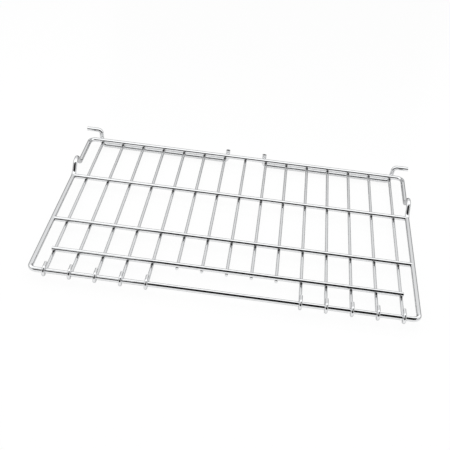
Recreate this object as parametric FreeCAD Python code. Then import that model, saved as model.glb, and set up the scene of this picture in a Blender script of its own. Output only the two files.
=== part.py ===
import FreeCAD, Part
import math
import os

# Oven shelf rack of welded round wire, in millimetres.
#
# X runs across the rack, Y from front to back and Z up.  The origin is on the
# plane the rack lies on, under the middle of its overall box.  A closed frame
# wire and three crossbars lie on top of fifteen long wires, and two bent hook
# wires run under the rear ends of the long wires.

# Frame wire: outside size, rod and bends
FRAME_WIDTH = 610.0
FRAME_DEPTH = 457.0
FRAME_WIRE_DIAMETER = 7.9
FRAME_CORNER_RADIUS = 11.0  # to the middle of the rod

# Hump in each side rail, just behind the rear crossbar
HUMP_BEHIND_REAR_BAR = 5.0  # crossbar axis to the foot of the hump
HUMP_HEIGHT = 22.0
HUMP_FRONT_RUN = 11.0  # length along the rail under the steep front leg
HUMP_TOP_LENGTH = 14.0
HUMP_REAR_RUN = 24.0
HUMP_FOOT_RADIUS = 12.0
HUMP_TOP_RADIUS = 9.5

# Crossbars, placed axis to axis
CROSSBAR_DIAMETER = 7.9
BACK_RAIL_TO_REAR_BAR = 149.3
REAR_BAR_TO_MIDDLE_BAR = 149.4
FRONT_RAIL_TO_FRONT_BAR = 61.7  # depth of the hand gap
FRONT_BAR_OVERHANG = 3.0  # past the axis of the outermost long wires

# Long wires
LONG_WIRE_DIAMETER = 5.1
LONG_WIRE_COUNT = 15
SIDE_RAIL_TO_OUTER_WIRE = 23.5  # axis to axis
SHORT_WIRE_COUNT = 5  # in the middle, ending at the front crossbar
SHORT_WIRE_OVERHANG = 2.4  # past the axis of the front crossbar
REAR_END_PAST_HOOK = 3.0  # past the axis of the rear hook wire
OUTER_END_PAST_RAIL = 1.0  # outermost pair, past the axis of the back rail, short of the hooks' legs

# Hook that each full-length wire makes round the front rail
FRONT_HOOK_RADIUS = 6.6  # to the middle of the wire
FRONT_HOOK_CLEARANCE = 0.5  # bend centre in front of the rail axis
FRONT_HOOK_RETURN = 12.5  # tip behind the rail axis

# Rear hook wires, each bent in one plane that leans back behind the back rail
HOOK_WIRE_DIAMETER = 7.9
HOOK_RUN_BEHIND_RAIL = 6.8  # run axis behind the axis of the back rail
HOOK_FOOT_RADIUS = 9.0  # to the middle of the wire, between run and leg
HOOK_HEAD_RADIUS = 7.5  # between leg and arm
HOOK_STUB_RADIUS = 7.5  # between run and stub
HOOK_FOOT_OUTSIDE_WIRE = 1.1  # corner of run and leg outside the outermost long wire
HOOK_LEG_SPLAY = 4.5  # the leg's top further out than its foot
HOOK_ARM_PAST_FRAME = 5.0  # arm end outside the side of the frame
HOOK_ARM_OFFSET = 28.9  # run axis to arm axis, along the leg
HOOK_STUB_WIRE = 1  # long wires between the middle wire and the stub
HOOK_STUB_INSIDE_WIRE = 4.5
HOOK_STUB_LENGTH = 21.2  # run axis to the end of the stub
HOOK_LEG_CLEARANCE = 0.3  # between a leg and the back rail

# Rims of the cut wire ends, rounded by tumbling before plating
END_ROUNDING = 0.5

# Resistance welds press each crossing of two wires together by this much
WELD_SET_DOWN = 0.3

# Heights of the four layers of wire
HOOK_Z = HOOK_WIRE_DIAMETER / 2
LONG_Z = HOOK_Z + (HOOK_WIRE_DIAMETER + LONG_WIRE_DIAMETER) / 2 - WELD_SET_DOWN
RAIL_Z = LONG_Z + (LONG_WIRE_DIAMETER + FRAME_WIRE_DIAMETER) / 2 - WELD_SET_DOWN
BAR_Z = LONG_Z + (LONG_WIRE_DIAMETER + CROSSBAR_DIAMETER) / 2 - WELD_SET_DOWN

# Lean of the hook wires from upright, so that their legs just clear the back rail
HOOK_LEG_OFFSET = (FRAME_WIRE_DIAMETER + HOOK_WIRE_DIAMETER) / 2 + HOOK_LEG_CLEARANCE
HOOK_RUN_BELOW_RAIL = RAIL_Z - HOOK_Z
HOOK_RUN_TO_RAIL = math.hypot(HOOK_RUN_BEHIND_RAIL, HOOK_RUN_BELOW_RAIL)
HOOK_LEAN = math.asin(HOOK_LEG_OFFSET / HOOK_RUN_TO_RAIL) - math.atan2(HOOK_RUN_BEHIND_RAIL, HOOK_RUN_BELOW_RAIL)

# Places along Y, with the overall box centred on the origin
FRONT_REACH = FRONT_HOOK_CLEARANCE + FRONT_HOOK_RADIUS + LONG_WIRE_DIAMETER / 2
REAR_REACH = HOOK_RUN_BEHIND_RAIL + HOOK_ARM_OFFSET * math.sin(HOOK_LEAN) + HOOK_WIRE_DIAMETER / 2
RAIL_SPACING = FRAME_DEPTH - FRAME_WIRE_DIAMETER
FRONT_RAIL_Y = (FRONT_REACH - RAIL_SPACING - REAR_REACH) / 2
BACK_RAIL_Y = FRONT_RAIL_Y + RAIL_SPACING
REAR_BAR_Y = BACK_RAIL_Y - BACK_RAIL_TO_REAR_BAR
MIDDLE_BAR_Y = REAR_BAR_Y - REAR_BAR_TO_MIDDLE_BAR
FRONT_BAR_Y = FRONT_RAIL_Y + FRONT_RAIL_TO_FRONT_BAR
HOOK_RUN_Y = BACK_RAIL_Y + HOOK_RUN_BEHIND_RAIL
WIRE_END_Y = HOOK_RUN_Y + REAR_END_PAST_HOOK
OUTER_WIRE_END_Y = BACK_RAIL_Y + OUTER_END_PAST_RAIL

# Places along X
SIDE_RAIL_X = (FRAME_WIDTH - FRAME_WIRE_DIAMETER) / 2
OUTER_WIRE_X = SIDE_RAIL_X - SIDE_RAIL_TO_OUTER_WIRE
LONG_WIRE_PITCH = 2 * OUTER_WIRE_X / (LONG_WIRE_COUNT - 1)
HOOK_FOOT_X = OUTER_WIRE_X + HOOK_FOOT_OUTSIDE_WIRE
HOOK_HEAD_X = HOOK_FOOT_X + HOOK_LEG_SPLAY
HOOK_ARM_END_X = FRAME_WIDTH / 2 + HOOK_ARM_PAST_FRAME
HOOK_STUB_X = HOOK_STUB_WIRE * LONG_WIRE_PITCH - HOOK_STUB_INSIDE_WIRE

ACROSS = FreeCAD.Vector(1, 0, 0)
BACKWARD = FreeCAD.Vector(0, 1, 0)


def tangent_arc(before, corner, after, radius):
    """Start, middle and end of the arc that rounds one corner of a path."""
    back = (before - corner).normalize()
    ahead = (after - corner).normalize()
    half_angle = back.getAngle(ahead) / 2
    inward = (back + ahead).normalize()
    setback = radius / math.tan(half_angle)
    centre = corner + inward * (radius / math.sin(half_angle))
    return corner + back * setback, centre - inward * radius, corner + ahead * setback


def bent_path(corners, radii):
    """Wire of straight runs through the corners, each inner one rounded by its radius."""
    edges = []
    here = corners[0]
    for index, radius in enumerate(radii, start=1):
        start, middle, end = tangent_arc(corners[index - 1], corners[index], corners[index + 1], radius)
        if here.distanceToPoint(start) > 1e-6:
            edges.append(Part.makeLine(here, start))
        edges.append(Part.Arc(start, middle, end).toShape())
        here = end
    edges.append(Part.makeLine(here, corners[-1]))
    return Part.Wire(edges)


def bent_rod(corners, radii, diameter):
    """Round rod bent along a path."""
    direction = corners[1] - corners[0]
    section = Part.Face(Part.Wire(Part.makeCircle(diameter / 2, corners[0], direction)))
    return bent_path(corners, radii).makePipe(section)


def straight_rod(start, length, direction, diameter):
    """Straight round rod."""
    return Part.makeCylinder(diameter / 2, length, start, direction)


def rounded_ends(rod, ends):
    """Rod with the rims round its end points rounded."""
    rims = [edge for edge in rod.Edges if any(edge.CenterOfMass.isEqual(end, 1e-6) for end in ends)]
    return rod.makeFillet(END_ROUNDING, rims)


def seated(rod, neighbours):
    """Rod with the seats that its welded neighbours press into it."""
    return rod.cut(neighbours)


def frame_wire():
    """Closed border rod, made of two mirrored halves that meet at the middle of the rails."""
    hump_front = REAR_BAR_Y + HUMP_BEHIND_REAR_BAR
    hump_top_front = hump_front + HUMP_FRONT_RUN
    hump_top_rear = hump_top_front + HUMP_TOP_LENGTH
    hump_rear = hump_top_rear + HUMP_REAR_RUN
    hump_top = RAIL_Z + HUMP_HEIGHT
    corners = [
        FreeCAD.Vector(0, FRONT_RAIL_Y, RAIL_Z),
        FreeCAD.Vector(SIDE_RAIL_X, FRONT_RAIL_Y, RAIL_Z),
        FreeCAD.Vector(SIDE_RAIL_X, hump_front, RAIL_Z),
        FreeCAD.Vector(SIDE_RAIL_X, hump_top_front, hump_top),
        FreeCAD.Vector(SIDE_RAIL_X, hump_top_rear, hump_top),
        FreeCAD.Vector(SIDE_RAIL_X, hump_rear, RAIL_Z),
        FreeCAD.Vector(SIDE_RAIL_X, BACK_RAIL_Y, RAIL_Z),
        FreeCAD.Vector(0, BACK_RAIL_Y, RAIL_Z),
    ]
    radii = [
        FRAME_CORNER_RADIUS,
        HUMP_FOOT_RADIUS,
        HUMP_TOP_RADIUS,
        HUMP_TOP_RADIUS,
        HUMP_FOOT_RADIUS,
        FRAME_CORNER_RADIUS,
    ]
    half = bent_rod(corners, radii, FRAME_WIRE_DIAMETER)
    return half.fuse(half.mirror(FreeCAD.Vector(0, 0, 0), ACROSS)).removeSplitter()


def butted_bar(y, frame):
    """Crossbar with its ends coped to the insides of the side rails."""
    start = FreeCAD.Vector(-SIDE_RAIL_X, y, BAR_Z)
    return seated(straight_rod(start, 2 * SIDE_RAIL_X, ACROSS, CROSSBAR_DIAMETER), [frame])


def free_bar(y):
    """Crossbar with free ends, just past the outermost long wires."""
    end = FreeCAD.Vector(OUTER_WIRE_X + FRONT_BAR_OVERHANG, y, BAR_Z)
    start = FreeCAD.Vector(-end.x, y, BAR_Z)
    return rounded_ends(straight_rod(start, 2 * end.x, ACROSS, CROSSBAR_DIAMETER), [start, end])


def short_wire(x):
    """Straight long wire that ends at the front crossbar."""
    start = FreeCAD.Vector(x, FRONT_BAR_Y - SHORT_WIRE_OVERHANG, LONG_Z)
    end = FreeCAD.Vector(x, WIRE_END_Y, LONG_Z)
    wire = straight_rod(start, end.y - start.y, BACKWARD, LONG_WIRE_DIAMETER)
    return rounded_ends(wire, [start, end])


def full_wire(x, rear_end):
    """Long wire that passes under the front rail, turns up in front of it and comes back over it."""
    hook_front = FRONT_RAIL_Y - FRONT_HOOK_CLEARANCE - FRONT_HOOK_RADIUS
    hook_top = LONG_Z + 2 * FRONT_HOOK_RADIUS
    corners = [
        FreeCAD.Vector(x, rear_end, LONG_Z),
        FreeCAD.Vector(x, hook_front, LONG_Z),
        FreeCAD.Vector(x, hook_front, hook_top),
        FreeCAD.Vector(x, FRONT_RAIL_Y + FRONT_HOOK_RETURN, hook_top),
    ]
    wire = bent_rod(corners, [FRONT_HOOK_RADIUS, FRONT_HOOK_RADIUS], LONG_WIRE_DIAMETER)
    return rounded_ends(wire, [corners[0], corners[-1]])


def rear_hook(side):
    """Hook wire of one side (-1 left, 1 right): stub, run, leaning leg and outward arm."""

    def on_plane(x, along_leg):
        y = HOOK_RUN_Y + along_leg * math.sin(HOOK_LEAN)
        z = HOOK_Z + along_leg * math.cos(HOOK_LEAN)
        return FreeCAD.Vector(side * x, y, z)

    corners = [
        on_plane(HOOK_STUB_X, HOOK_STUB_LENGTH),
        on_plane(HOOK_STUB_X, 0),
        on_plane(HOOK_FOOT_X, 0),
        on_plane(HOOK_HEAD_X, HOOK_ARM_OFFSET),
        on_plane(HOOK_ARM_END_X, HOOK_ARM_OFFSET),
    ]
    radii = [HOOK_STUB_RADIUS, HOOK_FOOT_RADIUS, HOOK_HEAD_RADIUS]
    return rounded_ends(bent_rod(corners, radii, HOOK_WIRE_DIAMETER), [corners[0], corners[-1]])


def long_wires(neighbours):
    """All long wires from left to right, seated in the rods that they are welded to."""
    middle = (LONG_WIRE_COUNT - 1) / 2
    wires = {}
    for index in range(LONG_WIRE_COUNT):
        x = (index - middle) * LONG_WIRE_PITCH
        is_short = abs(index - middle) < SHORT_WIRE_COUNT / 2
        is_outer = index in (0, LONG_WIRE_COUNT - 1)
        rear_end = OUTER_WIRE_END_Y if is_outer else WIRE_END_Y
        wire = short_wire(x) if is_short else full_wire(x, rear_end)
        wires[f"long_wire_{index + 1:02d}"] = seated(wire, neighbours)
    return wires


def rack():
    """Every piece of the rack by name."""
    frame = frame_wire()
    pieces = {
        "frame_wire": frame,
        "crossbar_rear": butted_bar(REAR_BAR_Y, frame),
        "crossbar_middle": butted_bar(MIDDLE_BAR_Y, frame),
        "crossbar_front": free_bar(FRONT_BAR_Y),
        "rear_hook_left": rear_hook(-1),
        "rear_hook_right": rear_hook(1),
    }
    pieces.update(long_wires(list(pieces.values())))
    return pieces


os.makedirs("parts", exist_ok=True)
for name, shape in rack().items():
    shape.exportStep(f"parts/{name}.step")
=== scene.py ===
"""Looks for a chrome-plated oven shelf rack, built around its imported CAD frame.

Every wire is a smooth round surface carried along the bent line of its CAD node, in metres and in the
CAD's own frame: X across the rack, Y from front to back, Z up.
"""
import math

import bpy
import numpy as np
from bpy.props import FloatProperty, FloatVectorProperty, IntProperty, PointerProperty
from mathutils import Matrix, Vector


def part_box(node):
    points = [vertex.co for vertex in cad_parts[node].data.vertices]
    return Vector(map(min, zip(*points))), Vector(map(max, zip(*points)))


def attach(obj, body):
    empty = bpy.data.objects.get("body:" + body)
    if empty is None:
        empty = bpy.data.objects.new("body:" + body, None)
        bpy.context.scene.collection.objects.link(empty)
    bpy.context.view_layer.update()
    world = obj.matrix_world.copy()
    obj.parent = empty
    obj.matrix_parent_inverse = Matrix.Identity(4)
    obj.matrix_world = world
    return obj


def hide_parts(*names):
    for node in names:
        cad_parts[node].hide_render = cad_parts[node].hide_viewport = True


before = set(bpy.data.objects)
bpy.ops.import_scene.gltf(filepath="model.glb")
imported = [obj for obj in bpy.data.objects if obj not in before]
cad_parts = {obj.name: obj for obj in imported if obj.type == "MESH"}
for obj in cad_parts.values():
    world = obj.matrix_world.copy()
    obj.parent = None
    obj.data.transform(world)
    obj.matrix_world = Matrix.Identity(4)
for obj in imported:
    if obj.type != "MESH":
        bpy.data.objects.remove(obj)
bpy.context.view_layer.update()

bl_info = {
    "name": "Oven Shelf Rack",
    "version": (1, 0, 0),
    "blender": (4, 5, 0),
    "location": "View3D > Sidebar > Rack",
    "description": "Builds the plated wires, the welds and the studio of an oven shelf rack",
    "category": "Object",
}

MM = 0.001
LONG_WIRES = sorted(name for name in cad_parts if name.startswith("long_wire_"))
CROSSBARS = sorted(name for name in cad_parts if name.startswith("crossbar_"))
FRONT, MIDDLE, REAR = CROSSBARS
UP = np.array((0.0, 0.0, 1.0))
ACROSS = np.array((1.0, 0.0, 0.0))
# A long wire whose box is this many diameters high is hooked round the front rail.
HOOKED_HEIGHT = 1.5
# Rings of the rounded rim at a wire's end, and of the painted shade round a crossing.
END_RINGS = 5
CROSSING_SHADE_RINGS = 9
# Range of the mottle times the drawing lines that spans least to most roughness.
DULLNESS_RANGE = (0.1, 0.4)
SENSOR_WIDTH = 36.0
FLOOR_SIDES = 96
TENT_TURNS = 240
TENT_RISES = 60
SOFTBOX_ROWS = 24


def linear(code):
    """An sRGB hex colour as linear red, green and blue."""
    shown = np.array([int(code[i:i + 2], 16) for i in (0, 2, 4)]) / 255
    low = shown / 12.92
    high = ((shown + 0.055) / 1.055) ** 2.4
    return tuple(float(c) for c in np.where(shown <= 0.04045, low, high))


def length(name, millimetres, description):
    """A length property, given in millimetres and held in metres."""
    return FloatProperty(name=name, description=description, default=millimetres * MM, unit="LENGTH",
                         precision=5)


class WireSizes(bpy.types.PropertyGroup):
    """Diameters and bends of the wires. Their places come from the CAD nodes."""
    frame_wire: length("Frame wire", 7.9, "Diameter of the closed frame wire")
    crossbar: length("Crossbar", 7.9, "Diameter of the three crossbars")
    long_wire: length("Long wire", 5.1, "Diameter of the fifteen long wires")
    hook_wire: length("Hook wire", 7.9, "Diameter of the two rear hook wires")
    end_rounding: length("End rounding", 0.5, "Radius on the rim of each cut wire end")

    frame_corner: length("Frame corner", 11.0, "Bend radius of the frame's corners, to the wire's middle")
    hump_behind_bar: length("Hump start", 5.0, "From the rear crossbar's axis to the foot of the hump")
    hump_front_run: length("Hump front", 11.0, "Length of rail under the hump's steep front leg")
    hump_top: length("Hump top", 14.0, "Length of the hump's top between its corners")
    hump_rear_run: length("Hump rear", 24.0, "Length of rail under the hump's long rear leg")
    hump_foot_bend: length("Hump foot bend", 12.0, "Bend radius at the two feet of the hump")
    hump_top_bend: length("Hump top bend", 9.5, "Bend radius at the two top corners of the hump")

    front_hook_bend: length("Front hook bend", 6.6, "Bend radius of the hook round the front rail")
    front_hook_tip: length("Front hook tip", 12.5, "From the front rail's axis back to the hook's tip")

    hook_foot_bend: length("Rear hook foot bend", 9.0, "Bend radius between a rear hook's run and its leg")
    hook_head_bend: length("Rear hook head bend", 7.5, "Bend radius between a rear hook's leg and its arm")
    hook_stub_bend: length("Rear hook stub bend", 7.5, "Bend radius between a rear hook's run and its stub")
    hook_foot_outside: length("Rear hook foot", 1.1, "From the outermost long wire out to the leg's foot")
    hook_leg_splay: length("Rear hook splay", 4.5, "How much further out the leg's top is than its foot")
    hook_stub: length("Rear hook stub", 21.2, "From the run's axis to the end of the upright stub")

    around: IntProperty(name="Faces around", description="Faces around one wire", default=28, min=8)
    bend_step: FloatProperty(name="Bend step", description="Angle between two rings of a bend",
                             default=math.radians(6), subtype="ANGLE")


class WeldSizes(bpy.types.PropertyGroup):
    """Resistance welds where two wires cross, and the fillets at the crossbars' butted ends."""
    gap: length("Weld gap", 0.8, "Gap between the two wires that the weld metal fills at its rim")
    waist: FloatProperty(name="Waist", description="How far the weld's side is drawn in between the wires",
                         default=0.16, subtype="FACTOR", min=0, max=1)
    fillet: length("Fillet", 1.5, "Leg of the fillet round the butted end of a crossbar")
    bury: length("Bury", 0.25, "How deep the weld's rims lie inside the wires")
    around: IntProperty(name="Faces around", description="Faces around one weld", default=24, min=8)
    rows: IntProperty(name="Rows", description="Rows of faces from one wire to the other", default=5, min=2)


class Finish(bpy.types.PropertyGroup):
    """Colours and surface of the plated wire."""
    plate: FloatVectorProperty(name="Plate", description="Bright chrome plate", subtype="COLOR", size=3,
                               default=linear("EDEEEF"), min=0, max=1)
    plate_thin: FloatVectorProperty(name="Thin plate", description="Chrome plate where it is thinner",
                                    subtype="COLOR", size=3, default=linear("E6E7E8"), min=0, max=1)
    # Painted shade: a dark colour laid on the plate round each crossing and on the welds. It stands in for
    # the shade and dark reflection there, and the plate is also made duller.
    plate_crevice: FloatVectorProperty(name="Crevice", description="Dull dark plate in the crevice at a weld",
                                       subtype="COLOR", size=3, default=linear("464545"), min=0, max=1)
    crevice_reach: length("Crevice reach", 12.5, "From a crossing to where the dark plate ends")
    crevice_width: FloatProperty(name="Crevice width", description="Half width of the dark plate in radii",
                                 default=0.95, subtype="FACTOR", min=0, max=1)
    crevice_core: FloatProperty(name="Crevice core", description="Share of its reach in which it is darkest",
                                default=0.3, subtype="FACTOR", min=0, max=1)
    crevice_roughness: FloatProperty(name="Crevice roughness", description="Roughness of the plate at a weld",
                                     default=0.3, subtype="FACTOR", min=0, max=1)
    edge: FloatProperty(name="Edge", description="Share of the reflection left at a wire's outline",
                        default=0.5, subtype="FACTOR", min=0, max=1)
    roughness: FloatProperty(name="Roughness", description="Least roughness of the plate",
                             default=0.03, subtype="FACTOR", min=0, max=1)
    roughness_more: FloatProperty(name="More roughness", description="Added where the plate is dullest",
                                  default=0.05, subtype="FACTOR", min=0, max=1)
    mottle: length("Mottle", 9.0, "Size of one patch of thicker or thinner plate")
    die_line: length("Die line", 0.7, "Width of one drawing line left by the wire die")
    die_line_run: length("Die line run", 60.0, "Length of one drawing line along the wire")
    die_line_depth: length("Die line depth", 0.004, "Depth of the drawing lines under the plate")


class Studio(bpy.types.PropertyGroup):
    """Camera, floor and light."""
    azimuth: FloatProperty(name="Azimuth", description="Camera's turn about the upright", subtype="ANGLE",
                           default=math.radians(2.164))
    elevation: FloatProperty(name="Elevation", description="Camera's height above the horizon",
                             subtype="ANGLE", default=math.radians(31.741))
    roll: FloatProperty(name="Roll", description="Camera's turn about its own line of sight",
                        subtype="ANGLE", default=math.radians(6.281))
    distance: length("Distance", 1680.2, "Camera to the point it looks at")
    aim: FloatVectorProperty(name="Aim", description="Point that the camera looks at", unit="LENGTH", size=3,
                             default=(-0.0167, -0.0098, 0.0055))
    lens: FloatProperty(name="Lens", description="Focal length on a 36 mm sensor, in millimetres",
                        default=77.99)

    floor_radius: length("Floor radius", 2600.0, "Radius of the round floor")
    floor_colour: FloatVectorProperty(name="Floor", description="White acrylic floor", subtype="COLOR",
                                      size=3, default=linear("FAFAFA"), min=0, max=1)
    floor_roughness: FloatProperty(name="Floor roughness", description="Roughness of the floor's gloss",
                                   default=0.08, subtype="FACTOR", min=0, max=1)
    floor_shadow: FloatProperty(name="Floor shadow", description="Share of the floor's white that shade dims",
                                default=0.10, subtype="FACTOR", min=0, max=1)
    gloss_shadow: FloatProperty(name="Mirrored shadow", description="The same share in the chrome",
                                default=0.5, subtype="FACTOR", min=0, max=1)
    tent_radius: length("Tent radius", 2500.0, "Distance of the light tent from the rack")
    tent_level: FloatProperty(name="Tent level", description="Brightness of the tent's wall",
                              default=0.90, subtype="FACTOR", min=0, max=1)
    roof_level: FloatProperty(name="Roof level", description="Brightness of the tent's roof", default=1.15)
    roof_start: FloatProperty(name="Roof start", description="Height at which the wall turns brighter",
                              subtype="ANGLE", default=math.radians(50))
    roof_full: FloatProperty(name="Roof full", description="Height from which the roof is fully bright",
                             subtype="ANGLE", default=math.radians(75))
    foot_level: FloatProperty(name="Foot level", description="Brightness of the tent at the floor",
                              default=0.15, subtype="FACTOR", min=0, max=1)
    foot_top: FloatProperty(name="Foot top", description="Height up to which the foot is evenly dark",
                            subtype="ANGLE", default=math.radians(3))
    foot_fade: FloatProperty(name="Foot fade", description="Height at which the dark foot has faded out",
                             subtype="ANGLE", default=math.radians(19))
    slot_level: FloatProperty(name="Slot level", description="Brightness of the opening behind the camera",
                              default=0.01, subtype="FACTOR", min=0, max=1)
    slot_top: FloatProperty(name="Slot top", description="Height of the opening, seen from the rack",
                            subtype="ANGLE", default=math.radians(100))
    slot_width: FloatProperty(name="Slot width", description="Half the angle that the opening is wide",
                              subtype="ANGLE", default=math.radians(46))
    flap_top: FloatProperty(name="Flap top", description="Height of the opening left of the flap's edge",
                            subtype="ANGLE", default=math.radians(41))
    flap_side: FloatProperty(name="Flap side", description="Angle off the middle of the flap's edge",
                             subtype="ANGLE", default=math.radians(-7))
    slot_edge: FloatProperty(name="Slot edge", description="Angle over which the opening's edge fades",
                             subtype="ANGLE", default=math.radians(3))
    card_top: FloatProperty(name="Card top", description="Height of the dark card, seen from the rack",
                            subtype="ANGLE", default=math.radians(23))
    card_width: FloatProperty(name="Card width", description="Half the angle that the dark card is wide",
                              subtype="ANGLE", default=math.radians(14))
    card_edge: FloatProperty(name="Card edge", description="Angle over which the dark card's edge fades",
                             subtype="ANGLE", default=math.radians(2.5))
    softbox_height: length("Softbox height", 600.0, "Height of the overhead softbox")
    softbox_front: length("Softbox front", -315.0, "Place of the softbox's front edge along Y")
    softbox_soft: length("Softbox fade", 140.0, "Depth over which the softbox's front edge fades in")
    softbox_back: length("Softbox back", 505.0, "Place of the softbox's back edge along Y")
    softbox_width: length("Softbox width", 3600.0, "Width of the softbox across X")
    softbox_turn: FloatProperty(name="Softbox turn", description="Turn of the softbox about the upright",
                                subtype="ANGLE", default=math.radians(10))
    softbox_level: FloatProperty(name="Softbox level", description="Brightness of the softbox in chrome",
                                 default=1.3)
    softbox_light: FloatProperty(name="Softbox light", description="Brightness of the softbox as a light",
                                 default=0.25)
    fill_level: FloatProperty(name="Fill level", description="Brightness of the surroundings as a light",
                              default=1.0)


def unit(vectors):
    """Vectors along the last axis, brought to length one."""
    return vectors / np.linalg.norm(vectors, axis=-1, keepdims=True)


def smooth(low, high, value):
    """0 up to low, 1 from high on, and the smooth cubic 3 t^2 - 2 t^3 between them."""
    t = np.clip((value - low) / (high - low), 0, 1)
    return t * t * (3 - 2 * t)


def node_box(name):
    """Lowest and highest corner of a CAD node as arrays."""
    low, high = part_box(name)
    return np.array(low), np.array(high)


def bent_line(corners, radii, step):
    """Points and directions of a wire's middle line: straight legs, with an arc at each inner corner.

    With h half the angle between the legs at a corner, an arc of radius r has its centre r / sin(h) along
    their bisector and touches each leg r / tan(h) from the corner. With a and b square to each other, from
    the centre to the first touching point and along the turn, its points are centre + a cos t + b sin t.
    """
    corners = np.array(corners, float)
    ends = unit(np.array([corners[1] - corners[0], corners[-1] - corners[-2]]))
    points, ahead = [corners[:1]], [ends[:1]]
    for before, corner, after, radius in zip(corners, corners[1:], corners[2:], radii):
        leg_in, leg_out = unit(before - corner), unit(after - corner)
        half = math.acos(np.clip(leg_in @ leg_out, -1, 1)) / 2
        centre = corner + unit(leg_in + leg_out) * radius / math.sin(half)
        start = corner + leg_in * radius / math.tan(half) - centre
        turn = math.pi - 2 * half
        t = np.linspace(0, turn, max(3, round(turn / step) + 1))[:, None]
        points.append(centre + start * np.cos(t) - leg_in * radius * np.sin(t))
        ahead.append(unit(-start * np.sin(t) - leg_in * radius * np.cos(t)))
    points = np.concatenate([*points, corners[-1:]])
    ahead = np.concatenate([*ahead, ends[1:]])
    apart = np.linalg.norm(np.diff(points, axis=0), axis=1) > 0.001 * MM
    fresh = np.concatenate([[True], apart])
    return points[fresh], ahead[fresh]


def with_rings(line, ahead, marks):
    """The same line with a point added at each distance in marks, all of them on straight stretches.

    A mark past either end, or within a millimetre of it, is left out.
    """
    run = np.concatenate([[0], np.cumsum(np.linalg.norm(np.diff(line, axis=0), axis=1))])
    every = np.union1d(run, marks[(marks > MM) & (marks < run[-1] - MM)])
    line = np.stack([np.interp(every, run, column) for column in line.T], -1)
    ahead = np.stack([np.interp(every, run, column) for column in ahead.T], -1)
    return line, unit(ahead)


def wire_surface(line, ahead, side, radius, around, rounding=None):
    """Vertices, faces, wire coordinates and normals of a round wire along a line.

    At ring i and angle a the surface is line + r (side cos a + up sin a), with up square to the line and to
    side. With no rounding the line is a closed loop. Otherwise each end narrows by a quarter round,
    r - q + q cos b at q (1 - sin b) from the end, where the normal leans by b towards the end, and closes at
    a pole. Wire coordinates are (r cos a, r sin a, distance along the line).
    """
    closed = rounding is None
    if closed:
        reach = np.full(len(line), radius)
        lean = np.zeros(len(line))
    else:
        b = np.linspace(math.pi / 2, 0, END_RINGS)
        set_back = rounding * (1 - np.sin(b))[:, None]
        narrow = radius - rounding + rounding * np.cos(b)
        inner = np.zeros(len(line) - 2)
        line = np.concatenate([line[0] + ahead[0] * set_back, line[1:-1],
                               (line[-1] - ahead[-1] * set_back)[::-1]])
        ahead = np.concatenate([np.repeat(ahead[:1], END_RINGS, 0), ahead[1:-1],
                                np.repeat(ahead[-1:], END_RINGS, 0)])
        reach = np.concatenate([narrow, radius + inner, narrow[::-1]])
        lean = np.concatenate([-b, inner, b[::-1]])
    if side is None:
        side = unit(np.cross(ahead, UP))
    side = np.broadcast_to(side, ahead.shape)
    up = np.cross(ahead, side)

    a = np.arange(around) * 2 * math.pi / around
    ring = np.stack([np.cos(a), np.sin(a)], -1)
    out = ring[:, :1] * side[:, None] + ring[:, 1:] * up[:, None]
    points = line[:, None] + reach[:, None, None] * out
    normals = np.cos(lean)[:, None, None] * out + (np.sin(lean)[:, None] * ahead)[:, None]
    spread = reach[:, None, None] * ring
    run = np.concatenate([[0], np.cumsum(np.linalg.norm(np.diff(line, axis=0), axis=1))])
    run = np.broadcast_to(run[:, None, None], spread[..., :1].shape)
    coordinates = np.concatenate([spread, run], -1)

    index = np.arange(len(line) * around).reshape(len(line), around)
    turned = np.roll(index, -1, 1)
    if closed:
        index = np.concatenate([index, index[:1]])
        turned = np.concatenate([turned, turned[:1]])
    faces = np.stack([index[:-1], turned[:-1], turned[1:], index[1:]], -1).reshape(-1, 4).tolist()
    points, normals, coordinates = (v.reshape(-1, 3) for v in (points, normals, coordinates))
    if not closed:
        first = len(points)
        points = np.concatenate([points, line[:1], line[-1:]])
        normals = np.concatenate([normals, -ahead[:1], ahead[-1:]])
        coordinates = np.concatenate([coordinates, [(0, 0, 0)], [(0, 0, run.max())]])
        faces += np.stack([turned[0], index[0], np.full(around, first)], -1).tolist()
        faces += np.stack([index[-1], turned[-1], np.full(around, first + 1)], -1).tolist()
    return points, faces, coordinates, normals


def spindle_faces(rows, around):
    """Faces of a spindle: a pole, rows of rings, and a second pole, numbered in that order."""
    index = 1 + np.arange(rows * around).reshape(rows, around)
    turned = np.roll(index, -1, 1)
    last = 1 + rows * around
    faces = np.stack([index[:-1], turned[:-1], turned[1:], index[1:]], -1).reshape(-1, 4).tolist()
    faces += np.stack([turned[0], index[0], np.zeros(around, int)], -1).tolist()
    faces += np.stack([index[-1], turned[-1], np.full(around, last)], -1).tolist()
    return faces


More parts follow.
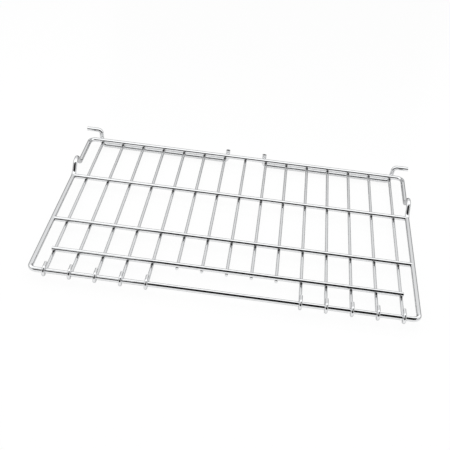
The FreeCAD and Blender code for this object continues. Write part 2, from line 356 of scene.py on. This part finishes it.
def crossing_weld(x, y, low_z, low_radius, low_along, high_z, high_radius, sizes):
    """Weld metal in the gap between a wire and another that lies square across it.

    At distance d and angle a from the point where they touch, the gap is close to
    d^2 (cos^2 a / low_radius + sin^2 a / high_radius) / 2 less what the weld sets down, with a measured from
    the upper wire's line. The rim is where that gap reaches its set size. From there the side is drawn in by
    a parabola between the two wires, and a pole inside each of them closes it.
    """
    set_down = low_radius + high_radius - (high_z - low_z)
    a = np.arange(sizes.around) * 2 * math.pi / sizes.around
    bend = np.cos(a) ** 2 / low_radius + np.sin(a) ** 2 / high_radius
    rim = np.sqrt(2 * (sizes.gap + set_down) / bend)
    v = np.linspace(0, 1, sizes.rows + 1)[:, None]
    d = rim * (1 - sizes.waist * (1 - (2 * v - 1) ** 2))
    along_high = d * np.cos(a)
    along_low = d * np.sin(a)
    bottom = low_z + np.sqrt(np.maximum(low_radius ** 2 - along_high ** 2, 0)) - sizes.bury
    top = high_z - np.sqrt(np.maximum(high_radius ** 2 - along_low ** 2, 0)) + sizes.bury
    z = bottom + (top - bottom) * v
    if low_along:
        place = np.stack([x + along_high, y + along_low, z], -1)
    else:
        place = np.stack([x + along_low, y - along_high, z], -1)
    poles = np.array([(x, y, low_z + low_radius - 2 * sizes.bury),
                      (x, y, high_z - high_radius + 2 * sizes.bury)])
    return np.concatenate([poles[:1], place.reshape(-1, 3), poles[1:]])


def butt_weld(rail_x, y, z, rail_radius, bar_radius, sizes):
    """Hollow fillet round the end of a crossbar that butts against a side rail.

    Around the bar at angle a, the rail's face stands at sqrt(R^2 - h^2) from its axis, where h is the height
    above that axis. The fillet's leg shrinks by cos^2 a to nothing at the top and bottom, where the bar runs
    over the rail. It starts on the bar one leg away from the rail's face and ends on the rail one leg from
    the bar, and its hollow side is a quarter circle. Its poles lie inside the bar and inside the rail.
    """
    inward = -math.copysign(1, rail_x)
    a = np.arange(sizes.around) * 2 * math.pi / sizes.around
    b = np.linspace(0, math.pi / 2, sizes.rows + 1)[:, None]
    leg = sizes.fillet * np.cos(a) ** 2 + sizes.bury
    reach = bar_radius - sizes.bury + leg * (1 - np.cos(b))
    height = reach * np.sin(a)
    face = np.sqrt(np.maximum(rail_radius ** 2 - height ** 2, 0))
    x = rail_x + inward * (face + leg * (1 - np.sin(b)) - sizes.bury)
    place = np.stack([x, y - inward * reach * np.cos(a), z + height], -1)
    poles = np.array([(rail_x + inward * (rail_radius + sizes.fillet), y, z), (rail_x, y, z)])
    return np.concatenate([poles[:1], place.reshape(-1, 3), poles[1:]])


def add_node(tree, kind, values=None, links=None, **settings):
    """Add one node: settings are its properties, values its constants, links its sockets' sources."""
    made = tree.nodes.new(kind)
    for key, value in settings.items():
        setattr(made, key, value)
    for key, value in (values or {}).items():
        made.inputs[key].default_value = value
    for key, source in (links or {}).items():
        tree.links.new(source, made.inputs[key])
    return made


def new_material(name):
    """An empty node material and its tree."""
    material = bpy.data.materials.new(name)
    material.use_nodes = True
    material.node_tree.nodes.clear()
    return material, material.node_tree


def chrome_plate(finish):
    """Bright chrome over nickel on cold-drawn steel wire.

    A mirror that is a little grey. The die's long fine lines show faintly through the plate, and the plate is
    thicker and thinner in soft patches, which turn its gloss a little. Round the crossings and on the welds
    its colour is darkened by painted shade, which stands in for the shade and dark reflection there, and it
    is duller: the piece's own attribute for it says where.
    """
    name = "bright chrome-plated drawn steel wire"
    if name in bpy.data.materials:
        return bpy.data.materials[name]
    material, tree = new_material(name)
    wire = add_node(tree, "ShaderNodeAttribute", attribute_name="wire")
    place = add_node(tree, "ShaderNodeTexCoord")
    per_line = 1 / finish.die_line
    # Drawing lines are finer on real wire; they are drawn this wide so that they show.
    drawn = add_node(tree, "ShaderNodeMapping", {"Scale": (per_line, per_line, 1 / finish.die_line_run)},
                     {"Vector": wire.outputs["Vector"]})
    lines = add_node(tree, "ShaderNodeTexNoise", {"Scale": 1.0, "Detail": 3.0, "Roughness": 0.6},
                     {"Vector": drawn.outputs["Vector"]})
    patches = add_node(tree, "ShaderNodeTexNoise", {"Scale": 1 / finish.mottle, "Detail": 2.0},
                       {"Vector": place.outputs["Object"]})
    colour = add_node(tree, "ShaderNodeMix", {"A": (*finish.plate_thin, 1), "B": (*finish.plate, 1)},
                      None, data_type="RGBA")
    tree.links.new(patches.outputs["Fac"], colour.inputs["Factor"])
    # Painted shade: this attribute darkens the plate colour round each crossing and on the welds, and makes
    # it duller.
    crevice = add_node(tree, "ShaderNodeAttribute", attribute_name="crevice")
    shaded_colour = add_node(tree, "ShaderNodeMix", {"B": (*finish.plate_crevice, 1)},
                      {"A": colour.outputs["Result"]}, data_type="RGBA")
    tree.links.new(crevice.outputs["Fac"], shaded_colour.inputs["Factor"])
    dullness = add_node(tree, "ShaderNodeMath", None, {0: lines.outputs["Fac"], 1: patches.outputs["Fac"]},
                        operation="MULTIPLY")
    least, most = DULLNESS_RANGE
    roughness = add_node(tree, "ShaderNodeMapRange",
                         {"From Min": least, "From Max": most, "To Min": finish.roughness,
                          "To Max": finish.roughness + finish.roughness_more},
                         {"Value": dullness.outputs["Value"]})
    dulled = add_node(tree, "ShaderNodeMath", {1: finish.crevice_roughness},
                      {0: crevice.outputs["Fac"], 2: roughness.outputs["Result"]}, operation="MULTIPLY_ADD")
    relief = add_node(tree, "ShaderNodeBump", {"Strength": 1.0, "Distance": finish.die_line_depth},
                      {"Height": lines.outputs["Fac"]})
    shader = add_node(tree, "ShaderNodeBsdfPrincipled",
                      {"Metallic": 1.0, "Specular Tint": (*[finish.edge] * 3, 1)},
                      {"Base Color": shaded_colour.outputs["Result"], "Roughness": dulled.outputs["Value"],
                       "Normal": relief.outputs["Normal"]})
    add_node(tree, "ShaderNodeOutputMaterial", None, {"Surface": shader.outputs["BSDF"]})
    return material


def new_piece(name, points, faces, material, normals=None, **attributes):
    """A smooth mesh object at the origin, with its place in its vertices and its attributes on them."""
    mesh = bpy.data.meshes.new(name)
    mesh.from_pydata(points.tolist(), [], faces)
    mesh.shade_smooth()
    for key, values in attributes.items():
        kind, field = ("FLOAT", "value") if values.ndim == 1 else ("FLOAT_VECTOR", "vector")
        attribute = mesh.attributes.new(key, kind, "POINT")
        attribute.data.foreach_set(field, np.ascontiguousarray(values, np.float32).ravel())
    mesh.materials.append(material)
    mesh.validate()
    if normals is not None:
        mesh.normals_split_custom_set_from_vertices(normals.tolist())
    piece = bpy.data.objects.new(name, mesh)
    bpy.context.scene.collection.objects.link(piece)
    return piece


def new_wire(node, corners, bends, side, radius, scene, closed=False, crossed=()):
    """The plated wire that stands for one CAD node. Rods cross over it at the values of Y in crossed.

    The painted shade at a crossing is an ellipse of darker plate, its reach long and its set width wide.
    """
    sizes = scene.rack_wires
    finish = scene.rack_finish
    line, ahead = bent_line(corners, bends, sizes.bend_step)
    rounding = sizes.end_rounding
    if closed:
        line, ahead, rounding = line[:-1], ahead[:-1], None
    steps = np.linspace(-finish.crevice_reach, finish.crevice_reach, CROSSING_SHADE_RINGS)
    marks = [line[0, 1] - y + steps for y in crossed]
    line, ahead = with_rings(line, ahead, np.ravel(marks))
    points, faces, coordinates, normals = wire_surface(line, ahead, side, radius, sizes.around, rounding)
    # Painted shade: darkens the plate in an ellipse round each crossing.
    across = coordinates[:, 0] / (radius * finish.crevice_width)
    crevice = np.zeros(len(points))
    for y in crossed:
        spot = np.hypot((points[:, 1] - y) / finish.crevice_reach, across)
        crevice += 1 - smooth(finish.crevice_core, 1, spot)
    piece = new_piece(node + "_plated", points, faces, chrome_plate(finish), normals, wire=coordinates,
                      crevice=crevice)
    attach(piece, "root")
    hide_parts(node)


def new_welds(name, welds, scene):
    """One piece that holds a row of like welds."""
    sizes = scene.rack_welds
    count = len(welds[0])
    one = spindle_faces(sizes.rows + 1, sizes.around)
    faces = [[corner + k * count for corner in face] for k in range(len(welds)) for face in one]
    points = np.concatenate(welds)
    # The welds take the painted shade all over, like the plate round the crossings.
    piece = new_piece(name, points, faces, chrome_plate(scene.rack_finish), None, wire=points,
                      crevice=np.ones(len(points)))
    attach(piece, "root")


def rail_places(scene):
    """Axes of the frame wire's rails: side X, front Y, back Y, rail Z and hump top Z."""
    low, high = node_box("frame_wire")
    radius = scene.rack_wires.frame_wire / 2
    return high[0] - radius, low[1] + radius, high[1] - radius, low[2] + radius, high[2] - radius


class RACK_OT_frame_wire(bpy.types.Operator):
    """Make the closed frame wire, with a hump in each side rail"""
    bl_idname = "rack.frame_wire"
    bl_label = "Frame wire"

    def execute(self, context):
        sizes = context.scene.rack_wires
        side, front, back, rail, top = rail_places(context.scene)
        bar = sum(node_box(REAR))[1] / 2
        foot = bar + sizes.hump_behind_bar
        crest = foot + sizes.hump_front_run
        crest_end = crest + sizes.hump_top
        foot_end = crest_end + sizes.hump_rear_run
        right = [(side, front, rail), (side, foot, rail), (side, crest, top), (side, crest_end, top),
                 (side, foot_end, rail), (side, back, rail)]
        left = [(-x, y, z) for x, y, z in reversed(right)]
        bends = [sizes.frame_corner, sizes.hump_foot_bend, sizes.hump_top_bend, sizes.hump_top_bend,
                 sizes.hump_foot_bend, sizes.frame_corner]
        middle = (0, front, rail)
        new_wire("frame_wire", [middle, *right, *left, middle], bends * 2, None,
                 sizes.frame_wire / 2, context.scene, closed=True)
        return {"FINISHED"}


class RACK_OT_crossbars(bpy.types.Operator):
    """Make the three crossbars"""
    bl_idname = "rack.crossbars"
    bl_label = "Crossbars"

    def execute(self, context):
        radius = context.scene.rack_wires.crossbar / 2
        for name in CROSSBARS:
            low, high = node_box(name)
            middle = (low + high) / 2
            reach = (high[0] - low[0]) / 2
            ends = [middle - ACROSS * reach, middle + ACROSS * reach]
            new_wire(name, ends, [], UP, radius, context.scene)
        return {"FINISHED"}


class RACK_OT_long_wires(bpy.types.Operator):
    """Make the long wires: hooked round the front rail at the sides, short in the middle"""
    bl_idname = "rack.long_wires"
    bl_label = "Long wires"

    def execute(self, context):
        sizes = context.scene.rack_wires
        radius = sizes.long_wire / 2
        _, front, back, _, _ = rail_places(context.scene)
        bars = [sum(node_box(name))[1] / 2 for name in CROSSBARS]
        for name in LONG_WIRES:
            low, high = node_box(name)
            x = (low[0] + high[0]) / 2
            z = low[2] + radius
            hooked = high[2] - low[2] > HOOKED_HEIGHT * sizes.long_wire
            if hooked:
                nose = low[1] + radius
                top = high[2] - radius
                tip = front + sizes.front_hook_tip
                corners = [(x, high[1], z), (x, nose, z), (x, nose, top), (x, tip, top)]
                bends = [sizes.front_hook_bend] * 2
            else:
                corners = [(x, high[1], z), (x, low[1], z)]
                bends = []
            crossed = [back, *[y for y in bars if y - low[1] > sizes.crossbar]]
            new_wire(name, corners, bends, ACROSS, radius, context.scene, crossed=crossed)
        return {"FINISHED"}


class RACK_OT_rear_hooks(bpy.types.Operator):
    """Make the two rear hook wires, each bent in one leaning plane"""
    bl_idname = "rack.rear_hooks"
    bl_label = "Rear hooks"

    def execute(self, context):
        sizes = context.scene.rack_wires
        radius = sizes.hook_wire / 2
        outer = sum(node_box(LONG_WIRES[-1]))[0] / 2
        for name, hand in (("rear_hook_left", -1), ("rear_hook_right", 1)):
            low, high = node_box(name)
            run = np.array((0, low[1] + radius, low[2] + radius))
            arm = np.array((0, high[1] - radius, high[2] - radius))
            leg = unit(arm - run)
            stub_x = min(abs(low[0]), abs(high[0])) + radius
            foot_x = outer + sizes.hook_foot_outside
            head_x = foot_x + sizes.hook_leg_splay
            end_x = max(abs(low[0]), abs(high[0]))
            corners = [run + leg * sizes.hook_stub + ACROSS * hand * stub_x, run + ACROSS * hand * stub_x,
                       run + ACROSS * hand * foot_x, arm + ACROSS * hand * head_x,
                       arm + ACROSS * hand * end_x]
            bends = [sizes.hook_stub_bend, sizes.hook_foot_bend, sizes.hook_head_bend]
            new_wire(name, corners, bends, np.cross(ACROSS, leg), radius, context.scene)
        return {"FINISHED"}


class RACK_OT_welds(bpy.types.Operator):
    """Make the welds at the crossings and at the butted crossbar ends"""
    bl_idname = "rack.welds"
    bl_label = "Welds"

    def execute(self, context):
        scene = context.scene
        sizes = scene.rack_wires
        weld = scene.rack_welds
        side, front, back, rail, _ = rail_places(scene)
        wire = sizes.long_wire / 2
        boxes = [node_box(name) for name in LONG_WIRES]
        places = [((low[0] + high[0]) / 2, low[2] + wire, low[1]) for low, high in boxes]
        rear_ends = [high[1] for _, high in boxes]

        for name in (FRONT, MIDDLE, REAR):
            bar = sum(node_box(name)) / 2
            row = [crossing_weld(x, bar[1], z, wire, True, bar[2], sizes.crossbar / 2, weld)
                   for x, z, _ in places]
            new_welds(name + "_welds", row, scene)
        row = [crossing_weld(x, back, z, wire, True, rail, sizes.frame_wire / 2, weld) for x, z, _ in places]
        new_welds("back_rail_welds", row, scene)
        row = [crossing_weld(x, front, z, wire, True, rail, sizes.frame_wire / 2, weld)
               for x, z, start in places if start < front]
        new_welds("front_rail_welds", row, scene)

        hook = sizes.hook_wire / 2
        stub_x, hook_y, hook_z = node_box("rear_hook_right")[0] + hook
        row = [crossing_weld(x, hook_y, hook_z, hook, False, z, wire, weld)
               for (x, z, _), end in zip(places, rear_ends) if abs(x) > stub_x and end > hook_y]
        new_welds("rear_hook_welds", row, scene)

        row = []
        for name in (MIDDLE, REAR):
            bar = sum(node_box(name)) / 2
            row += [butt_weld(x, bar[1], bar[2], sizes.frame_wire / 2, sizes.crossbar / 2, weld)
                    for x in (-side, side)]
        new_welds("crossbar_end_welds", row, scene)
        return {"FINISHED"}


def camera_axes(studio):
    """Right, up and line of sight of the camera, from its turn, height and roll."""
    turn, rise, roll = studio.azimuth, studio.elevation, studio.roll
    sight = np.array((-math.sin(turn) * math.cos(rise), math.cos(turn) * math.cos(rise), -math.sin(rise)))
    level = np.array((math.cos(turn), math.sin(turn), 0.0))
    upright = np.cross(level, sight)
    right = math.cos(roll) * level + math.sin(roll) * upright
    up = math.cos(roll) * upright - math.sin(roll) * level
    return right, up, sight


def seen_directly(tree, camera, mirrored):
    """The share for a camera ray, or for a glossy or transmitted one, and 0 where light is gathered."""
    path = add_node(tree, "ShaderNodeLightPath")
    through = add_node(tree, "ShaderNodeMath", None,
                       {0: path.outputs["Is Glossy Ray"], 1: path.outputs["Is Transmission Ray"]},
                       operation="MAXIMUM")
    reflected = add_node(tree, "ShaderNodeMath", {1: mirrored}, {0: through.outputs["Value"]},
                         operation="MULTIPLY")
    seen = add_node(tree, "ShaderNodeMath", {1: camera},
                    {0: path.outputs["Is Camera Ray"], 2: reflected.outputs["Value"]},
                    operation="MULTIPLY_ADD")
    return seen.outputs["Value"]


def white_acrylic(studio):
    """Glossy white acrylic, lit to white for the camera and in the chrome, less a share for shade."""
    material, tree = new_material("glossy white acrylic sheet")
    sheet = add_node(tree, "ShaderNodeBsdfPrincipled",
                     {"Base Color": (*studio.floor_colour, 1), "Roughness": studio.floor_roughness})
    glow = add_node(tree, "ShaderNodeEmission", {"Strength": 1.0})
    mixed = add_node(tree, "ShaderNodeMixShader", None,
                     {0: seen_directly(tree, 1 - studio.floor_shadow, 1 - studio.gloss_shadow),
                      1: sheet.outputs["BSDF"], 2: glow.outputs["Emission"]})
    add_node(tree, "ShaderNodeOutputMaterial", None, {"Surface": mixed.outputs["Shader"]})
    return material


def lit_cloth():
    """Lit white cloth, as bright at each point as the piece's own shade attribute says."""
    material, tree = new_material("lit white cloth")
    shade = add_node(tree, "ShaderNodeAttribute", attribute_name="shade")
    glow = add_node(tree, "ShaderNodeEmission", {"Strength": 1.0}, {"Color": shade.outputs["Fac"]})
    add_node(tree, "ShaderNodeOutputMaterial", None, {"Surface": glow.outputs["Emission"]})
    return material


def window(width, top, edge, side, rise):
    """1 inside a patch of the tent that is width to either side and top high, fading to 0 over its edge."""
    return (1 - smooth(width, width + edge, side)) * (1 - smooth(top, top + edge, rise))


def tent_dome(studio):
    """Points, faces and shade of the light tent, a dome of radius R.

    At turn a from the camera's side and height e, a point is R (cos e sin a, -cos e cos a, sin e). Its shade
    rises smoothly from the dark foot to the tent's level. It falls to the slot's level inside the opening
    behind the camera, which a flap makes lower on the left, and to the foot's level at the dark card behind
    the rack. Both patches are measured by the angle off the middle plane and by the rise within that plane.
    """
    turns, rises = TENT_TURNS, TENT_RISES
    a = np.arange(turns) * 2 * math.pi / turns
    e = np.arange(rises)[:, None] * math.pi / 2 / rises
    towards = np.stack(np.broadcast_arrays(np.cos(e) * np.sin(a), -np.cos(e) * np.cos(a), np.sin(e)), -1)
    towards = np.concatenate([towards.reshape(-1, 3), [UP]])
    side = np.arcsin(towards[:, 0])
    rise = np.arctan2(towards[:, 2], -towards[:, 1])
    height = np.arcsin(towards[:, 2])
    foot = 1 - smooth(studio.foot_top, studio.foot_fade, height)
    tall = 1 - smooth(0, studio.slot_edge, studio.flap_side - side)
    top = studio.flap_top + (studio.slot_top - studio.flap_top) * tall
    slot = window(studio.slot_width, top, studio.slot_edge, np.abs(side), rise)
    card = window(studio.card_width, studio.card_top, studio.card_edge, np.abs(side), math.pi - rise)
    roof = smooth(studio.roof_start, studio.roof_full, height)
    shade = studio.tent_level + (studio.roof_level - studio.tent_level) * roof
    shade = shade + (studio.foot_level - shade) * np.maximum(foot, card)
    shade = shade + (studio.slot_level - shade) * slot
    index = np.arange(rises * turns).reshape(rises, turns)
    turned = np.roll(index, -1, 1)
    faces = np.stack([index[:-1], index[1:], turned[1:], turned[:-1]], -1).reshape(-1, 4).tolist()
    faces += np.stack([index[-1], np.full(turns, rises * turns), turned[-1]], -1).tolist()
    return towards * studio.tent_radius, faces, shade


def softbox_cloth(studio):
    """Points, faces and shade of the softbox's cloth: a flat sheet, turned about its middle.

    Its shade rises smoothly from nothing at the front edge to the softbox's level.
    """
    rows = SOFTBOX_ROWS
    y = np.linspace(studio.softbox_front, studio.softbox_back, rows + 1)
    shade = studio.softbox_level * smooth(studio.softbox_front, studio.softbox_front + studio.softbox_soft, y)
    middle = (studio.softbox_front + studio.softbox_back) / 2
    x = np.array((-0.5, 0.5))[:, None] * studio.softbox_width
    turn = studio.softbox_turn
    points = np.stack(np.broadcast_arrays(x * math.cos(turn) - (y - middle) * math.sin(turn),
                                          x * math.sin(turn) + (y - middle) * math.cos(turn) + middle,
                                          studio.softbox_height), -1)
    left = np.arange(rows)
    right = left + rows + 1
    faces = np.stack([left, left + 1, right + 1, right], -1).tolist()
    return points.reshape(-1, 3), faces, np.tile(shade, 2)


class RACK_OT_studio(bpy.types.Operator):
    """Set the camera, the white floor, the light tent and the soft light"""
    bl_idname = "rack.studio"
    bl_label = "Studio"

    def execute(self, context):
        scene = context.scene
        studio = scene.rack_studio
        scene.view_settings.view_transform = "Standard"

        camera = bpy.data.objects.new("camera", bpy.data.cameras.new("camera"))
        camera.data.sensor_width = SENSOR_WIDTH
        camera.data.lens = studio.lens
        right, up, sight = camera_axes(studio)
        place = np.array(studio.aim) - sight * studio.distance
        camera.matrix_world = Matrix.Translation(place.tolist()) @ Matrix(
            np.stack([right, up, -sight], -1).tolist()).to_4x4()
        scene.collection.objects.link(camera)
        scene.camera = camera

        turn = np.linspace(0, 2 * math.pi, FLOOR_SIDES + 1)[:-1]
        ring = np.stack([np.cos(turn), np.sin(turn), np.zeros(FLOOR_SIDES)], -1)
        floor_points = np.concatenate([np.zeros((1, 3)), ring * studio.floor_radius])
        rim = 1 + np.arange(FLOOR_SIDES)
        floor_faces = np.stack([np.zeros(FLOOR_SIDES, int), rim, np.roll(rim, -1)], -1).tolist()
        floor = new_piece("floor", floor_points, floor_faces, white_acrylic(studio))

        points, faces, shade = tent_dome(studio)
        tent = new_piece("light_tent", points, faces, lit_cloth(), None, shade=shade)
        tent.visible_camera = False
        tent.visible_diffuse = False
        tent.visible_shadow = False

        points, faces, shade = softbox_cloth(studio)
        cloth = new_piece("softbox_cloth", points, faces, lit_cloth(), None, shade=shade)
        cloth.visible_camera = False
        cloth.visible_diffuse = False
        cloth.visible_shadow = False

        softbox = bpy.data.objects.new("softbox", bpy.data.lights.new("softbox", "AREA"))
        softbox.data.shape = "RECTANGLE"
        softbox.data.size = studio.softbox_width
        softbox.data.size_y = studio.softbox_back - studio.softbox_front
        area = softbox.data.size * softbox.data.size_y
        softbox.data.energy = studio.softbox_light * math.pi * area
        softbox.location = (0, (studio.softbox_back + studio.softbox_front) / 2, studio.softbox_height)
        softbox.rotation_euler = (0, 0, studio.softbox_turn)
        softbox.visible_camera = False
        softbox.visible_glossy = False
        scene.collection.objects.link(softbox)

        world = bpy.data.worlds.new("white studio")
        world.use_nodes = True
        tree = world.node_tree
        tree.nodes.clear()
        level = add_node(tree, "ShaderNodeMapRange", {"To Min": studio.fill_level, "To Max": 1.0},
                         {"Value": seen_directly(tree, 1.0, 1.0)})
        sky = add_node(tree, "ShaderNodeBackground", {"Color": (1, 1, 1, 1)},
                       {"Strength": level.outputs["Result"]})
        add_node(tree, "ShaderNodeOutputWorld", None, {"Surface": sky.outputs["Background"]})
        scene.world = world
        return {"FINISHED"}


class RACK_PT_panel(bpy.types.Panel):
    """Buttons of the rack"""
    bl_idname = "RACK_PT_panel"
    bl_label = "Oven shelf rack"
    bl_space_type = "VIEW_3D"
    bl_region_type = "UI"
    bl_category = "Rack"

    def draw(self, context):
        for operator in OPERATORS:
            self.layout.operator(operator.bl_idname)


SETTINGS = {"rack_wires": WireSizes, "rack_welds": WeldSizes, "rack_finish": Finish, "rack_studio": Studio}
OPERATORS = (RACK_OT_frame_wire, RACK_OT_crossbars, RACK_OT_long_wires, RACK_OT_rear_hooks, RACK_OT_welds,
             RACK_OT_studio)


def register():
    """Register the settings, the operators and the panel."""
    for name, group in SETTINGS.items():
        bpy.utils.register_class(group)
        setattr(bpy.types.Scene, name, PointerProperty(type=group))
    for operator in (*OPERATORS, RACK_PT_panel):
        bpy.utils.register_class(operator)


def unregister():
    """Take away what register() added."""
    for operator in reversed((*OPERATORS, RACK_PT_panel)):
        bpy.utils.unregister_class(operator)
    for name, group in SETTINGS.items():
        delattr(bpy.types.Scene, name)
        bpy.utils.unregister_class(group)


def main():
    """Register the settings and build everything."""
    register()
    bpy.ops.rack.frame_wire()
    bpy.ops.rack.crossbars()
    bpy.ops.rack.long_wires()
    bpy.ops.rack.rear_hooks()
    bpy.ops.rack.welds()
    bpy.ops.rack.studio()


if __name__ == "__main__":
    main()
